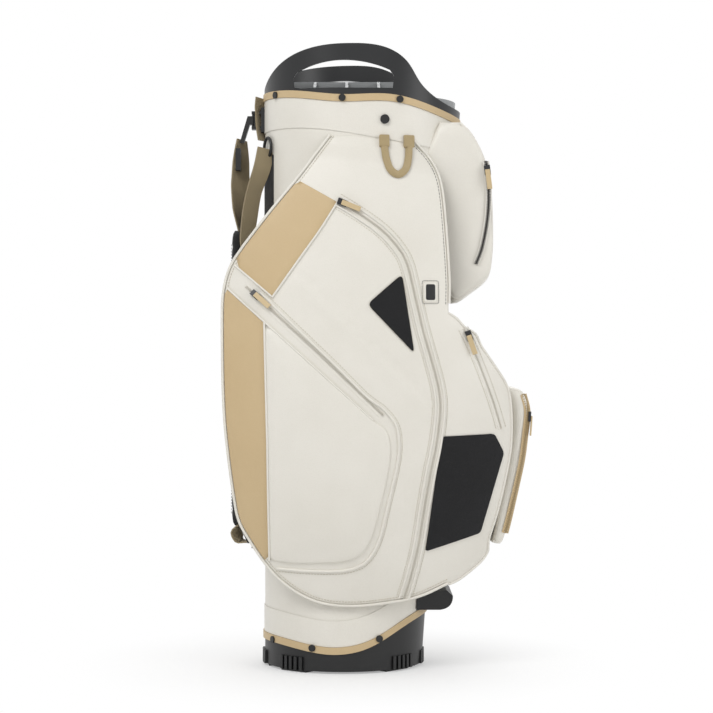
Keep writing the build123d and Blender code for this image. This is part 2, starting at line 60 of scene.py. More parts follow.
GUSSET_MIDDLE = (-5.0, 420.0)          # the gussets pull in towards it

# --- colours --------------------------------------------------------------------------------------
WHITE, WHITE_SHADE = "#E6E3DB", "#D9D5CB"
TAN, KHAKI, KHAKI_DARK = "#C9B38D", "#B3A27F", "#8F7F5F"
GREY = "#8E9192"


def linear(code):
    """A hex colour as the linear RGBA that a shader takes."""
    parts = [int(code[i:i + 2], 16) / 255 for i in (1, 3, 5)]
    return [c / 12.92 if c <= 0.04045 else ((c + 0.055) / 1.055) ** 2.4 for c in parts] + [1.0]


# --- materials ------------------------------------------------------------------------------------
def add_node(nodes, kind, **inputs):
    """A shader node with its inputs set by name."""
    node = nodes.new(kind)
    for name, value in inputs.items():
        node.inputs[name].default_value = value
    return node


def pattern_height(nodes, links, place, pattern, scale):
    """A surface's fine relief: a weave, a leather grain or plain noise."""
    if pattern == "weave":
        product = nodes.new("ShaderNodeMath")
        product.operation = "MULTIPLY"
        for socket, axis in zip(product.inputs, ("X", "Z")):
            wave = add_node(nodes, "ShaderNodeTexWave", Scale=scale, Distortion=0.6, Detail=1.0)
            wave.bands_direction = axis
            links.new(place, wave.inputs["Vector"])
            links.new(wave.outputs["Fac"], socket)
        return product.outputs[0]
    if pattern == "grain":
        cells = add_node(nodes, "ShaderNodeTexVoronoi", Scale=scale)
        cells.feature = "SMOOTH_F1"
        links.new(place, cells.inputs["Vector"])
        return cells.outputs["Distance"]
    grain = add_node(nodes, "ShaderNodeTexNoise", Scale=scale, Detail=6.0)
    links.new(place, grain.inputs["Vector"])
    return grain.outputs["Fac"]


def material(name, colour, second, scale, rough, bump, depth=0.001, pattern="noise", sheen=0.0):
    """A procedural finish: two colours mixed by a pattern, which also drives the bump."""
    mat = bpy.data.materials.new(name)
    mat.use_nodes = True
    nodes, links = mat.node_tree.nodes, mat.node_tree.links
    shader = nodes["Principled BSDF"]
    shader.inputs["Roughness"].default_value = rough
    shader.inputs["Sheen Weight"].default_value = sheen
    place = nodes.new("ShaderNodeTexCoord").outputs["Object"]
    height = pattern_height(nodes, links, place, pattern, scale)
    broad = add_node(nodes, "ShaderNodeTexNoise", Scale=9.0, Detail=4.0)
    links.new(place, broad.inputs["Vector"])
    share = nodes.new("ShaderNodeMath")
    share.operation = "MULTIPLY_ADD"
    share.inputs[1].default_value = 0.5
    links.new(height, share.inputs[0])
    links.new(broad.outputs["Fac"], share.inputs[2])
    mix = nodes.new("ShaderNodeMix")
    mix.data_type = "RGBA"
    mix.inputs["A"].default_value = linear(colour)
    mix.inputs["B"].default_value = linear(second)
    links.new(share.outputs[0], mix.inputs["Factor"])
    links.new(mix.outputs["Result"], shader.inputs["Base Color"])
    relief = add_node(nodes, "ShaderNodeBump", Strength=bump, Distance=depth)
    links.new(height, relief.inputs["Height"])
    links.new(relief.outputs["Normal"], shader.inputs["Normal"])
    return mat


COATED = material("coated_white", WHITE, WHITE_SHADE, 900, 0.4, 0.25, 0.0004, "grain")
GUSSET = material("gusset_white", WHITE, WHITE_SHADE, 1300, 0.6, 0.3, 0.0004, "weave", sheen=0.1)
TAN_SKIN = material("tan_skin", TAN, "#BFA77F", 1100, 0.5, 0.3, 0.0004, "grain")
WEBBING = material("khaki_webbing", KHAKI, KHAKI_DARK, 420, 0.8, 0.8, 0.0008, "weave", sheen=0.3)
PLASTIC = material("black_plastic", "#15171A", "#0E0F11", 1500, 0.38, 0.15, 0.0003)
# dark plastic for the base and the strap fittings; the same material is painted shade in the cart strap
# slot's opening
BASE_PLASTIC_AND_SLOT_SHADE = material("base_plastic_and_slot_shade", "#101112", "#0A0A0B", 1300, 0.45, 0.2, 0.0003)
GREY_PLASTIC = material("grey_plastic", GREY, "#9C9E9F", 1200, 0.5, 0.1, 0.0003)
FELT_CLOTH = material("black_felt", "#0C0C0D", "#1C1C1E", 1400, 1.0, 1.0, 0.0014, sheen=0.05)
PAD_CLOTH = material("pad_mesh", "#161719", "#0C0C0D", 900, 0.9, 0.9, 0.0008, "weave", sheen=0.1)
LOOP_WEBBING = material("tan_webbing", "#C4B08A", "#A89367", 520, 0.75, 0.7, 0.0006, "weave", sheen=0.2)
COIL = material("zip_coil", "#B7A27C", "#9A8662", 1500, 0.5, 0.3, 0.0003)
WHITE_COIL = material("white_coil", "#DAD6CC", "#C4BFB3", 1500, 0.5, 0.3, 0.0003)
DARK_COIL = material("dark_coil", "#2A2723", "#1B1917", 1500, 0.5, 0.3, 0.0003)
METAL = material("coated_metal", "#26262A", "#1A1A1C", 900, 0.3, 0.05, 0.0002)
PULL = material("beige_pull", "#CDB992", "#BFA981", 900, 0.5, 0.1, 0.0003)
ALLOY = material("alloy", "#B8B8BA", "#A5A5A8", 1200, 0.35, 0.05, 0.0002)
THREAD = material("thread", "#C9C3B4", "#B9B2A1", 2000, 0.7, 0.2, 0.0002)
DARK_THREAD = material("dark_thread", "#3A3834", "#2B2926", 2000, 0.7, 0.2, 0.0002)
ALLOY.node_tree.nodes["Principled BSDF"].inputs["Metallic"].default_value = 1.0


# --- geometry helpers, in millimetres -------------------------------------------------------------
def smooth(points, step=4.0):
    """Points along a Catmull-Rom curve through an outline's points."""
    pts = [np.array(p, float) for p in points]
    ends = [2 * pts[0] - pts[1]] + pts + [2 * pts[-1] - pts[-2]]
    out = []
    for a, b, c, d in zip(ends, ends[1:], ends[2:], ends[3:]):
        count = max(int(np.linalg.norm(c - b) / step), 1)
        for i in range(count):
            t = i / count
            out.append(0.5 * (2 * b + (c - a) * t + (2 * a - 5 * b + 4 * c - d) * t ** 2
                              + (3 * b - a - 3 * c + d) * t ** 3))
    return [tuple(p) for p in out + [pts[-1]]]


def straight(*points, step=4.0):
    """Points along straight runs."""
    out = []
    for a, b in zip(points, points[1:]):
        a, b = np.array(a, float), np.array(b, float)
        count = max(int(np.linalg.norm(b - a) / step), 1)
        out += [tuple(a + (b - a) * i / count) for i in range(count)]
    return out + [tuple(points[-1])]


def lean(z):
    """X of the tube's front arc centre at a height; the rear one is at 0."""
    return BASE_SPREAD + (TOP_SPREAD - BASE_SPREAD) * z / CUFF_LINE


def tube_depth(x, z, grow=0.0):
    """How far the tube's wall is from the XZ plane."""
    centre = min(max(x, 0.0), lean(z))
    return math.sqrt(max((TUBE_RADIUS + grow) ** 2 - (x - centre) ** 2, 0.0))


def curve_height(curve, x):
    """Height of a line round the tube at an X."""
    return float(np.interp(x, [p[0] for p in curve], [p[1] for p in curve]))


def form_depth(x, z):
    """How far the side pockets' curved form is from the XZ plane."""
    a, b, c = SIDE_SIZE
    return b * math.sqrt(max(1 - ((x - SIDE_CENTRE[0]) / a) ** 2 - ((z - SIDE_CENTRE[1]) / c) ** 2, 0.0))


def ease(t):
    """0 to 1, with a level start and end."""
    t = min(max(t, 0.0), 1.0)
    return t * t * (3 - 2 * t)


def wrinkle(x, z):
    """Soft unevenness of stretched fabric."""
    broad = noise.noise(Vector((x * 0.012, z * 0.009, 3.1)))
    fine = noise.noise(Vector((x * 0.035, z * 0.022, 7.7)))
    return 1.4 * broad + 0.5 * fine


def fold(x, z):
    """The sewn line that runs down across the upper face, and the fold past its end."""
    start, end = np.array(FOLD_START), np.array(FOLD_END)
    heading = (end - start) / np.linalg.norm(end - start)
    offset = np.array((x, z)) - start
    along, away = offset @ heading, offset @ np.array((-heading[1], heading[0]))
    share = ease(along / FOLD_FADE) * ease((FOLD_LENGTH - along) / FOLD_FADE)
    return share * (-1.6 * math.exp(-(away / 2.5) ** 2) + 1.2 * math.exp(-((away + 9) / 7) ** 2))


def side_depth(x, z):
    """How far the side face is from the XZ plane: the curved form, run out to the tube under the yoke."""
    full = form_depth(x, z) + wrinkle(x, z) + fold(x, z)
    share = ease((curve_height(YOKE, x) - z) / 45)
    low = tube_depth(x, z, 1.5)
    return low + (full - low) * share


def side_point(x, z, lift=0.0, side=-1):
    """A point of the side face, lifted along its normal."""
    step = 1.0
    dx = (side_depth(x + step, z) - side_depth(x - step, z)) / (2 * step)
    dz = (side_depth(x, z + step) - side_depth(x, z - step)) / (2 * step)
    length = math.sqrt(1 + dx * dx + dz * dz)
    depth = side_depth(x, z) + lift / length
    return Vector((x - dx / length * lift, side * depth, z - dz / length * lift)) * MM


def to_outline(points, outline):
    """Distance of each point from a closed outline."""
    pts, ring = np.array(points, float), np.array(outline, float)
    run = np.roll(ring, -1, axis=0) - ring
    size = (run ** 2).sum(1)
    best = np.full(len(pts), 1e9)
    for a, d, s in zip(ring, run, size):
        if s < 1e-12:
            continue
        t = np.clip(((pts - a) @ d) / s, 0, 1)
        best = np.minimum(best, np.linalg.norm(pts - a - t[:, None] * d, axis=1))
    return best


def inside(points, outline):
    """Whether each point is inside a closed outline."""
    pts, ring = np.array(points, float), np.array(outline, float)
    after = np.roll(ring, -1, axis=0)
    hit = np.zeros(len(pts), bool)
    for (x0, z0), (x1, z1) in zip(ring, after):
        if z0 == z1:
            continue
        crossing = (z0 > pts[:, 1]) != (z1 > pts[:, 1])
        hit ^= crossing & (pts[:, 0] < (x1 - x0) * (pts[:, 1] - z0) / (z1 - z0) + x0)
    return hit


def finish_mesh(name, verts, faces, mat, body="bag", smooth_angle=40):
    """A piece from its points and faces, with its finish, riding on its body."""
    mesh = bpy.data.meshes.new(name)
    mesh.from_pydata([tuple(v) for v in verts], [], faces)
    mesh.materials.append(mat)
    mesh.update()
    mesh.validate()
    piece = bpy.data.objects.new(name, mesh)
    bpy.context.scene.collection.objects.link(piece)
    mesh.shade_smooth()
    mesh.set_sharp_from_angle(angle=math.radians(smooth_angle))
    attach(piece, body)
    return piece


def triangulate(outline, edge, spacing):
    """A triangle mesh of an outline's inside, finer by its edge: points, triangles and edge distances."""
    ring = [Vector(p) for p in outline]
    lo, hi = np.min(outline, axis=0), np.max(outline, axis=0)
    grid = [(x, z) for i, x in enumerate(np.arange(lo[0], hi[0], spacing))
            for z in np.arange(lo[1] + (i % 2) * spacing / 2, hi[1], spacing)]
    away = to_outline(grid, outline)
    kept = [g for g, d, h in zip(grid, away, inside(grid, outline)) if h and d > edge + spacing * 0.5]
    loops = []
    loop = np.array(outline, float)
    heading = np.roll(loop, -1, axis=0) - np.roll(loop, 1, axis=0)
    heading /= np.maximum(np.linalg.norm(heading, axis=1), 1e-9)[:, None]
    normal = np.stack([-heading[:, 1], heading[:, 0]], axis=1)
    area = 0.5 * np.sum(loop[:, 0] * np.roll(loop[:, 1], -1) - np.roll(loop[:, 0], -1) * loop[:, 1])
    normal *= 1 if area > 0 else -1
    for share in (0.12, 0.4, 1.0):
        moved = loop + normal * edge * share
        away = to_outline(moved, outline)
        hits = inside(moved, outline)
        loops += [tuple(p) for p, d, h in zip(moved, away, hits) if h and d > edge * share * 0.9]
    points = ring + [Vector(p) for p in loops + kept]
    edges = [(i, (i + 1) % len(ring)) for i in range(len(ring))]
    verts, _, faces, _, _, _ = delaunay_2d_cdt(points, edges, [], 1, 1e-3)
    flat = [(v[0], v[1]) for v in verts]
    return flat, faces, to_outline(flat, outline)


def rolled(distance, edge):
    """How far a rounded edge falls away at a distance from the outline."""
    t = 1 - min(distance / edge, 1.0)
    return edge * (1 - math.sqrt(max(1 - t * t, 0.0)))


def panel(name, outline, mat, lift=1.0, edge=2.0, bulge=0.0, reach=30.0, depth=3.0, spacing=7.0, side=-1,
          place=None):
    """A fabric panel on a face, with rolled edges, a crown in its middle and its edge turned in."""
    place = place or side_point
    flat, faces, away = triangulate(outline, edge, spacing)
    verts = []
    for (x, z), d in zip(flat, away):
        verts.append(place(x, z, lift + bulge * ease(d / reach) - rolled(d, edge), side))
    rim = [i for i, d in enumerate(away) if d < 1e-3]
    order = {}
    for i, f in enumerate(faces):
        for a, b in zip(f, f[1:] + f[:1]):
            order[(a, b)] = i
    border = [(a, b) for a, b in order if (b, a) not in order]
    below = {}
    for i in rim:
        x, z = flat[i]
        below[i] = len(verts)
        verts.append(place(x, z, lift - edge - depth, side))
    walls = [(b, a, below[a], below[b]) for a, b in border if a in below and b in below]
    faces = [tuple(reversed(f)) if side < 0 else tuple(f) for f in list(faces) + walls]
    return finish_mesh(name, verts, faces, mat)


def cord_line(name, points, radius, mat):
    """A thin round piping along points in metres."""
    curve = bpy.data.curves.new(name, "CURVE")
    curve.dimensions = "3D"
    curve.bevel_depth = radius * MM
    curve.bevel_resolution = 3
    curve.use_fill_caps = True
    spline = curve.splines.new("POLY")
    spline.points.add(len(points) - 1)
    for p, q in zip(spline.points, points):
        p.co = (q[0], q[1], q[2], 1)
    curve.materials.append(mat)
    piece = bpy.data.objects.new(name, curve)
    bpy.context.scene.collection.objects.link(piece)
    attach(piece, "bag")


def steps(points, gap):
    """Points and headings at even distances along a line of vectors."""
    out, carry = [], 0.0
    for a, b in zip(points, points[1:]):
        run = (b - a).length
        if run < 1e-9:
            continue
        heading = (b - a) / run
        t = carry
        while t < run:
            out.append((a + heading * t, heading))
            t += gap
        carry = t - run
    return out


def bricks(name, places, size, mat, body="bag"):
    """Small bevelled blocks, each at a point with its own directions: along, across and out."""
    verts, faces = [], []
    long, wide, high = (s * MM / 2 for s in size)
    corner = 0.3
    for point, along, across, out in places:
        base = len(verts)
        for h, grow in ((-1, 1.0), (0.3, 1.0), (1, 1 - corner)):
            for u, v in ((-1, -1), (1, -1), (1, 1), (-1, 1)):
                verts.append(point + along * long * u * grow + across * wide * v * grow + out * high * h)
        for level in (0, 4):
            for i in range(4):
                j = (i + 1) % 4
                faces.append((base + level + i, base + level + j, base + level + 4 + j, base + level + 4 + i))
        faces.append((base + 8, base + 9, base + 10, base + 11))
        faces.append((base + 3, base + 2, base + 1, base))
    return finish_mesh(name, verts, faces, mat, body, 20)


def seam_frames(outline, place, side, lift):
    """Points on a face along a line, each with the directions along, across and out of the face."""
    low = [place(x, z, lift, side) for x, z in outline]
    high = [place(x, z, lift + 1.0, side) for x, z in outline]
    frames = []
    for i, (p, q) in enumerate(zip(low, high)):
        a, b = low[max(i - 1, 0)], low[min(i + 1, len(low) - 1)]
        along, out = (b - a).normalized(), (q - p).normalized()
        frames.append((p, along, along.cross(out).normalized(), out))
    return frames


def spaced(frames, gap):
    """Frames at even distances along a line of frames."""
    spots, travelled, due = [], 0.0, 0.0
    for a, b in zip(frames, frames[1:]):
        run = (b[0] - a[0]).length / MM
        while due <= travelled + run and run > 0:
            spots.append((a[0].lerp(b[0], (due - travelled) / run), a[1], a[2], a[3]))
            due += gap
        travelled += run
    return spots


def stitches(name, outline, mat, side=-1, lift=0.6, gap=4.2):
    """A row of thread stitches along a line of a face."""
    spots = spaced(seam_frames(outline, side_point, side, lift), gap)
    return bricks(name, spots, (gap * STITCH_SHARE, STITCH_WIDTH, STITCH_WIDTH), mat)


def loft_faces(rows, around):
    """Faces of a closed tube of rows of points, with both of its ends."""
    faces = []
    for i in range(rows - 1):
        for k in range(around):
            a, b = i * around + k, i * around + (k + 1) % around
            faces.append((a, b, b + around, a + around))
    last = (rows - 1) * around
    return faces + [tuple(range(around))[::-1], tuple(range(last, last + around))]


def ribbon(name, outline, width, mat, side=-1, lift=0.5, place=None):
    """A flat tape along a line of a face."""
    verts = []
    profile = [(-1, -0.6), (-0.94, 1), (0.94, 1), (1, -0.6)]
    for p, _, across, out in seam_frames(outline, place or side_point, side, lift):
        verts += [p + across * (u * width / 2 * MM) + out * (v * TAPE_THICKNESS / 2 * MM) for u, v in profile]
    return finish_mesh(name, verts, loft_faces(len(outline), len(profile)), mat, smooth_angle=30)


def zip_teeth(name, outline, mat, side=-1, lift=1.0, width=5.0, pitch=2.2, place=None):
    """The interlocked teeth of a closed zip, which lean to each side in turn."""
    spots = []
    for i, (p, along, across, out) in enumerate(
            spaced(seam_frames(outline, place or side_point, side, lift), pitch / 2)):
        turn = -1 if i % 2 else 1
        spots.append((p + across * (turn * width * 0.16 * MM), along, across, out))
    return bricks(name, spots, (pitch * 0.42, width * 0.68, 1.5), mat)


# --- outlines of the near face, as X and Z --------------------------------------------------------
DIAGONAL = [(-16, 757), (-55, 703), (-100, 647), (-135, 602)]
BACK_EDGE = [(-135, 602), (-154, 573), (-164, 538), (-166, 490), (-164, 385), (-159, 320), (-150, 250),
             (-143, 216), (-127, 187), (-106, 156), (-85, 133), (-57, 113), (-27, 101), (10, 97),
             (54, 100), (107, 109), (SIDE_FRONT, 127)]
BACK = smooth(DIAGONAL, 5)[:-1] + smooth(BACK_EDGE, 5)
POUCH_LINE = smooth([(150, 507), (162, 499), (172, 488), (188, 478), (197, 460), (216, 433), (234, 404),
                     (240, 372), (240, 320), (231, 268), (220, 222), (209, 186), (209, 172), (201, 158),
                     (184, 143), (166, 130), (152, 124)], 5)
FRONT = POUCH_LINE[::-1][:-1] + smooth([(150, 507), (150, 560), (145, 640), (139, 690), (125, 724),
                                        (100, 750)], 5)
SHOULDER = smooth([(150, 520), (150, 560), (145, 640), (139, 690), (125, 724), (100, 752)], 5)
TOP = straight((100, 746), (60, 752), (20, 757), (-16, 757), step=5)
FACE = BACK[:-1] + FRONT[:-1] + TOP[:-1]
ZIP_PATH = smooth([(-4.5, 662), (26, 643), (55, 622), (76, 600), (91, 574), (104, 520), (113, 482),
                   (125, 440), (135, 400), (137, 369), (132, 325), (124, 285), (116, 238), (107, 180),
                   (97, 138), (88, 107)], 4)
SIDE_ZIP_PATH = straight((-132, 543), (-36, 455), (58, 365), step=5)
POCKET_CORNER = [(44, 358), (62, 344), (68, 322), (66, 290), (55, 240), (43, 196), (28, 172), (4, 161),
                 (-40, 158)]
LOWER_POCKET = straight((-140, 524), (44, 358), step=5)[:-1] + smooth(POCKET_CORNER, 5)[:-1]
POCKET_TOP_WELT = smooth([(-112, 534), (-60, 484), (-10, 436), (34, 392), (60, 372), (76, 350), (80, 322),
                          (76, 290), (64, 238), (52, 190), (34, 160), (4, 148), (-45, 147), (-90, 150)], 5)
UPPER_TAN_FRONT = smooth([(-5, 660), (-30, 620), (-57, 582), (-95, 528)], 5)


def along_back(low, high):
    """The stretch of the back edge between two heights, from the top down."""
    return [p for p in BACK if low <= p[1] <= high and p[0] < 0]


def inset(points, amount):
    """A line moved sideways, to the left of its heading: into the face on the back edge."""
    pts = np.array(points)
    heading = np.gradient(pts, axis=0)
    heading /= np.linalg.norm(heading, axis=1)[:, None]
    return [tuple(p + np.array((-h[1], h[0])) * amount) for p, h in zip(pts, heading)]


UPPER_TAN = (straight((-57, 690), (-5, 660), step=5)[:-1] + UPPER_TAN_FRONT[:-1]
             + straight((-95, 528), (-146, 572), step=5)[:-1] + inset(along_back(580, 688), 2.5)[::-1])
LOWER_TAN = (inset(along_back(158, 538), 2.5)[::-1][:-1]
             + straight((-158, 541), (-106, 494), step=5)[:-1]
             + straight((-106, 494), (-102, 330), (-100, 162), step=6)[:-1])
D_FACE = [p for p in LOWER_POCKET if p[0] > -99] + smooth([(-40, 158), (-70, 158), (-99, 162)], 5)[:-1]
D_FACE = D_FACE + straight((-99, 162), (-101, 330), (-105, 492), step=6)[:-1]


def both(make):
    """Makes a piece for each side of the bag."""
    for side, word in ((-1, "near"), (1, "far")):
        make(side, word)


# --- the tube: sleeve, bands and trims keep their CAD shapes --------------------------------------
def dress(mat, *names):
    """Gives CAD nodes that keep their shape a material and smooth shading."""
    for name in names:
        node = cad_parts[name]
        node.data.materials.clear()
        node.data.materials.append(mat)
        node.data.shade_smooth()
        node.data.set_sharp_from_angle(angle=math.radians(35))


dress(COATED, "tube_sleeve", "cuff_band", "base_band")
dress(TAN_SKIN, "cuff_trim", "base_trim")
dress(PLASTIC, "top_cuff")
dress(BASE_PLASTIC_AND_SLOT_SHADE, "base_cup", "base_feet", "front_shelf", "trim_rivets", "button_screws",
      "strap_anchor_top", "strap_anchor_bottom", "strap_hook", "strap_tail", "strap_adjuster", "grab_ring")
dress(GREY_PLASTIC, "divider_ribs", "divider_rim")
dress(PAD_CLOTH, "divider_panels", "spine_panel")
dress(FELT_CLOTH, "felt_triangle", "loop_panel")
dress(WEBBING, "grab_strap", "strap_webbing", "towel_tabs", "towel_loop")
dress(ALLOY, "stay_rods")
for node_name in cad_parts:
    if "_zip" in node_name:
        dress(COIL, node_name)
    elif "_slider" in node_name:
        dress(METAL, node_name)
    elif "_pull" in node_name:
        dress(PULL, node_name)


# --- the side pockets -----------------------------------------------------------------------------
def channel_depth(x):
    """How far the wall beside the strap is from the XZ plane."""
    return CHANNEL_DEPTH + (CHANNEL_EDGE - min(x, CHANNEL_EDGE)) * CHANNEL_SLOPE


def gusset(side, word):
    """The side pocket's wall, from the edge of its face in to the tube."""
    verts, faces = [], []
    rows = 9
    for x, z in BACK:
        outer = side_depth(x, z) - 2
        inner = channel_depth(x) if x < CHANNEL_EDGE else tube_depth(x, z, 1.0)
        inner = min(inner, outer - 4)
        centre = np.array(GUSSET_MIDDLE) - np.array((x, z))
        centre /= np.linalg.norm(centre)
        for k in range(rows):
            t = k / (rows - 1)
            pull = 5.0 * math.sin(math.pi * t) + 1.2 * noise.noise(Vector((x * 0.03, z * 0.03, t * 3)))
            y = outer + (inner - outer) * t
            verts.append(Vector((x + centre[0] * pull, side * y, z + centre[1] * pull)) * MM)
    for i in range(len(BACK) - 1):
        for k in range(rows - 1):
            a = i * rows + k
            quad = (a, a + 1, a + rows + 1, a + rows)
            faces.append(quad if side > 0 else quad[::-1])
    finish_mesh(f"garment_gusset_{word}", verts, faces, GUSSET)


def channel_point(x, z, lift, side):
    """The pocket's inner wall beside the strap."""
    return Vector((x, side * (channel_depth(x) - lift), z)) * MM


def garment_side(side, word):
    """The garment pocket of one side, with the lower pocket on it, its tan panels, zips and seams."""
    face = panel(f"garment_face_{word}", FACE, COATED, lift=0.2, edge=4, bulge=0, spacing=7, side=side)
    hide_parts(f"garment_pocket_{word}")
    gusset(side, word)
    back = [p for p in BACK if p[0] < -91]
    wall = back + straight((-91, back[-1][1]), (-91, back[0][1]), step=12)[:-1]
    panel(f"channel_wall_{word}", wall, GUSSET, lift=0, edge=1, spacing=14, side=-side,
          place=lambda x, z, lift, s: channel_point(x, z, lift, -s))
    for name, outline in (("upper_tan", UPPER_TAN), ("lower_tan", LOWER_TAN)):
        panel(f"{name}_{word}", outline, TAN_SKIN, lift=1.4, edge=1.2, spacing=9, depth=1, side=side)
    pocket = panel(f"side_pocket_face_{word}", D_FACE, COATED, lift=3.6, edge=3, bulge=3, reach=45, depth=2,
                   spacing=8, side=side)
    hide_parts(f"side_pocket_{word}")
    lines = {    # points, radius and lift
        "piping_back": (BACK, 2.0, 0.8),
        "piping_upper_tan": (UPPER_TAN_FRONT, 1.5, 1.6),
        "piping_upper_tan_foot": (straight((-95, 528), (-148, 573), step=5), 1.5, 1.6),
        "piping_lower_tan": (straight((-106, 494), (-102, 330), (-100, 162), step=6), 1.6, 2.2),
        "piping_lower_tan_top": (straight((-158, 541), (-106, 494), (44, 358), step=6), 1.5, 2.2),
        "welt_pocket": (POCKET_TOP_WELT, 2.2, 0.8),
        "piping_front": (SHOULDER, 1.7, 0.6),
    }
    for name, (points, radius, lift) in lines.items():
        cord_line(f"{name}_{word}", [side_point(x, z, lift, side) for x, z in points], radius, COATED)
    for name, offset in (("inner", -6.0), ("outer", 6.5)):
        moved = inset(ZIP_PATH, -offset)
        cord_line(f"zip_welt_{name}_{word}", [side_point(x, z, 0.9, side) for x, z in moved], 1.9, COATED)
        stitches(f"zip_welt_stitch_{name}_{word}", inset(ZIP_PATH, -offset * 1.7), THREAD, side, 0.3)
    ribbon(f"garment_tape_{word}", ZIP_PATH, 10, COATED, side, 0.3)
    teeth = zip_teeth(f"garment_teeth_{word}", ZIP_PATH, WHITE_COIL, side, 1.0, width=4.0)
    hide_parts(f"garment_zip_{word}")
    ribbon(f"side_tape_{word}", SIDE_ZIP_PATH, 12, COATED, side, 0.2)
    teeth = zip_teeth(f"side_teeth_{word}", SIDE_ZIP_PATH, WHITE_COIL, side, 0.9, width=4.0)
    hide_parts(f"side_zip_{word}")
    stitches(f"back_stitch_{word}", inset(BACK, 5.5), THREAD, side, 0.6)
    stitches(f"fold_stitch_{word}", straight((-60, 565), (88, 421), step=5), DARK_THREAD, side, -0.9, gap=5)
    stitches(f"pocket_stitch_{word}", inset(POCKET_TOP_WELT, 4.5), THREAD, side, 0.3)


both(garment_side)


def rounded(corners, radius, step=3.0):
    """An outline with round corners."""
    out = []
    count = len(corners)
    for i in range(count):
        before, here, after = (np.array(corners[(i + k) % count], float) for k in (-1, 0, 1))
        a = here + (before - here) / np.linalg.norm(before - here) * radius
        b = here + (after - here) / np.linalg.norm(after - here) * radius
        for k in range(7):
            t = k / 6
            out.append(tuple((1 - t) ** 2 * a + 2 * t * (1 - t) * here + t * t * b))
        reach = after + (here - after) / np.linalg.norm(here - after) * radius
        out += straight(tuple(b), tuple(reach), step=step)[1:-1]
    return out


TRIANGLE = rounded([(36, 518), (84, 560), (101, 450)], 9)
LOOP_PANEL = rounded([(139, 335), (214, 338), (228, 311), (195, 198), (117, 174)], 5)
SLOT = rounded([(114, 549), (133, 549), (133, 521), (114, 521)], 4, step=2)
# the outline of the dark panel of painted shade in the slot's opening
SLOT_SHADE = rounded([(117, 546), (130, 546), (130, 524), (117, 524)], 3, step=2)
SLOT_SEAM = rounded([(112, 551), (135, 551), (135, 519), (112, 519)], 4, step=2)


def side_fittings(side, word):
    """The hook-and-loop patches and the cart strap's slot, whose opening is a dark panel of painted shade."""
    triangle = panel(f"felt_patch_{word}", TRIANGLE, FELT_CLOTH, lift=2.4, edge=0.8, spacing=6, depth=1,
                     side=side)
    stitches(f"felt_patch_edge_{word}", TRIANGLE + TRIANGLE[:2], THREAD, side, 1.6, gap=2.6)
    felt = panel(f"felt_panel_{word}", LOOP_PANEL, FELT_CLOTH, lift=2.2, edge=0.8, spacing=8, depth=1,
                 side=side)
    if side < 0:
        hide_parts("felt_triangle")
        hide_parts("loop_panel")
    panel(f"slot_frame_{word}", SLOT, COATED, lift=1.6, edge=0.8, spacing=3, depth=1, side=side)
    # The slot is not cut through: a dark panel stands in for its opening, as painted shade.
    panel(f"slot_painted_shade_{word}", SLOT_SHADE, BASE_PLASTIC_AND_SLOT_SHADE, lift=2.0, edge=0.4, spacing=3, depth=1, side=side)
    stitches(f"slot_stitch_{word}", SLOT_SEAM, DARK_THREAD, side, 0.4, gap=2.6)
    stitches(f"shoulder_stitch_{word}", inset(SHOULDER, 5), DARK_THREAD, side, 0.3, gap=5)


both(side_fittings)


# --- the front pockets: pillows on an XZ outline --------------------------------------------------
def pillow(name, outline, half, mat, edge=9.0, bulge=3.0, crown=3.0, spacing=9):
    """A closed pocket: two rounded side faces and the band that runs round between them."""
    flat, faces, away = triangulate(outline, edge, spacing)
    rows = 15
    verts, all_faces = [], []
    for side in (-1, 1):
        base = len(verts)
        for (x, z), d in zip(flat, away):
            y = half(x, z) - rolled(d, edge) + bulge * ease(d / 40) + 0.8 * wrinkle(x + 300, z) * ease(d / 20)
            verts.append(Vector((x, side * y, z)) * MM)
        all_faces += [tuple(base + i for i in (f if side > 0 else f[::-1])) for f in faces]
    ring = [np.array(p) for p in outline]
    base, count = len(verts), len(ring)
    area = 0.5 * sum(a[0] * b[1] - b[0] * a[1] for a, b in zip(ring, ring[1:] + ring[:1]))
    for i, p in enumerate(ring):
        heading = ring[(i + 1) % count] - ring[i - 1]
        heading /= max(np.linalg.norm(heading), 1e-9)
        out = np.array((heading[1], -heading[0])) * (1 if area > 0 else -1)
        wide = half(*p) - edge
        for k in range(rows):
            t = -1 + 2 * k / (rows - 1)
            uneven = noise.noise(Vector((p[0] * 0.03, t * wide * 0.03, p[1] * 0.03)))
            swell = (crown * (1 - t ** 4) + 0.9 * uneven) * (1 - abs(t) ** 8)
            q = p + out * swell
            verts.append(Vector((q[0], t * wide, q[1])) * MM)
    for i in range(count):
        j = (i + 1) % count
        for k in range(rows - 1):
            a, b = base + i * rows + k, base + j * rows + k
            quad = (a, a + 1, b + 1, b)
            all_faces.append(quad if area > 0 else quad[::-1])
    return finish_mesh(name, verts, all_faces, mat, smooth_angle=60)


UPPER_FRONT = smooth([(170, 778), (184, 764), (199, 737), (209, 706), (213.5, 670), (215, 620), (213, 580),
                      (209, 562), (200, 550), (184, 538), (168, 527), (156, 528), (148, 540)], 5)
UPPER = UPPER_FRONT[:-1] + straight((148, 540), (124, 560), (119, 640), (118, 735), (140, 778), (170, 778),
                                    step=8)[:-1]
POUCH = POUCH_LINE[:-1] + straight((152, 124), (140, 128), (138, 500), (150, 507), step=9)[:-1]
BALL_LINE = smooth([(234, 402), (246, 401), (257, 396), (263, 383), (264, 366), (260, 334), (253, 295),
                    (244, 252), (235, 212), (231, 190), (225, 180), (214, 182)], 5)
BALL_BACK = smooth([(214, 182), (222, 226), (234, 280), (241, 330), (241, 372), (234, 402)], 6)
BALL = BALL_LINE[:-1] + BALL_BACK[:-1]

